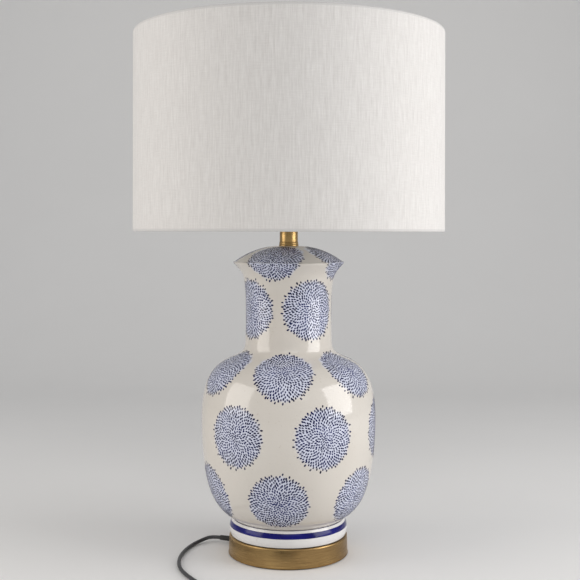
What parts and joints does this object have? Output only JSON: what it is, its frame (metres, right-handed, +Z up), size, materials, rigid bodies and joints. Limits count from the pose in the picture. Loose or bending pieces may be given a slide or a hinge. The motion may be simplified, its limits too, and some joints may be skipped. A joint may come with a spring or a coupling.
{
  "type": "table lamp",
  "caption": "Table lamp with a ginger-jar ceramic body on a round brass base, brass neck, harp, drum linen shade, turn switch and a two-pin mains flex.",
  "frame": {"origin": "middle of the felt underside, on the surface the lamp stands on", "axes": "+Z up along the lamp axis, -Y to the front of the lamp, +X to its right seen from the front"},
  "size_m": [0.4317, 0.4611, 0.7378],
  "materials": {
    "felt": "matte wool felt",
    "antique_brass": "satin, lathe-brushed antique brass under clear lacquer",
    "rubber": "matte",
    "glazed_ceramic": "glossy warm white glaze with cobalt underglaze brushwork, cobalt band on the foot",
    "zinc_steel": "zinc plated",
    "socket_brass": "bright brass-plated",
    "insulating_paper": "fibre board",
    "moulded_phenolic": "moulded, semi-matte",
    "black_knob": "moulded, fluted",
    "aluminium": "rolled",
    "frosted_glass": "inside-frosted",
    "linen": "off-white slub linen weave",
    "styrene_liner": "matte white",
    "white_wire": "white epoxy coat",
    "flex_pvc": "dark grey, satin"
  },
  "bodies": {
    "lamp_base": {"felt_pad": "felt", "base_cap": "antique_brass", "cord_bushing": "flex_pvc", "base_gasket": "rubber", "jar_body": "glazed_ceramic", "threaded_rod": "zinc_steel", "rod_washer": "zinc_steel", "rod_lock_washer": "zinc_steel", "rod_nut": "zinc_steel", "top_lock_nut": "zinc_steel", "dome_washer": "rubber", "neck_collar": "antique_brass", "neck_tube": "antique_brass", "check_ring": "antique_brass", "harp_saddle": "antique_brass", "socket_cap": "socket_brass", "socket_set_screw": "socket_brass", "socket_shell": "socket_brass", "socket_sleeve": "insulating_paper", "socket_body": "moulded_phenolic", "terminal_screws": "socket_brass", "socket_leads": "flex_pvc", "screw_shell": "aluminium", "center_contact": "socket_brass", "inner_cord": "flex_pvc", "cord_lead": "flex_pvc", "cord_coil": "flex_pvc", "coil_tie": "flex_pvc", "plug_body": "flex_pvc", "plug_blades": "socket_brass"},
    "switch": {"switch_shaft": "socket_brass", "switch_knob": "black_knob"},
    "bulb": {"bulb_contact": "zinc_steel", "bulb_cap": "aluminium", "bulb_glass": "frosted_glass"},
    "harp": {"harp_wire": "antique_brass"},
    "stud": {"harp_stud": "antique_brass"},
    "ferrule_left": {"harp_ferrule_left": "antique_brass"},
    "ferrule_right": {"harp_ferrule_right": "antique_brass"},
    "shade": {"shade_linen": "linen", "shade_liner": "styrene_liner", "shade_spider": "white_wire", "shade_bottom_ring": "white_wire"},
    "finial": {"finial": "antique_brass"}
  },
  "joints": [
    {"name": "switch_turn", "type": "hinge", "parent": "lamp_base", "child": "switch", "pos_m": [0, -0.024, 0.494], "axis": [0, -1, 0], "continuous": true},
    {"name": "bulb_unscrew", "type": "hinge", "parent": "lamp_base", "child": "bulb", "pos_m": [0, 0, 0.51], "axis": [0, 0, 1], "continuous": true},
    {"name": "harp_lift", "type": "slide", "parent": "lamp_base", "child": "harp", "axis": [0, 0, 1], "range_m": [0, 0.02]},
    {"name": "ferrule_left_lift", "type": "slide", "parent": "harp", "child": "ferrule_left", "axis": [0, 0, 1], "range_m": [0, 0.0125]},
    {"name": "ferrule_right_lift", "type": "slide", "parent": "harp", "child": "ferrule_right", "axis": [0, 0, 1], "range_m": [0, 0.0125]},
    {"name": "shade_swivel", "type": "hinge", "parent": "harp", "child": "stud", "pos_m": [0, 0, 0.7015], "axis": [0, 0, 1], "continuous": true},
    {"name": "shade_lift", "type": "slide", "parent": "stud", "child": "shade", "axis": [0, 0, 1], "range_m": [0, 0.3]},
    {"name": "finial_unscrew", "type": "hinge", "parent": "shade", "child": "finial", "pos_m": [0, 0, 0.71], "axis": [0, 0, 1], "continuous": true}
  ]
}
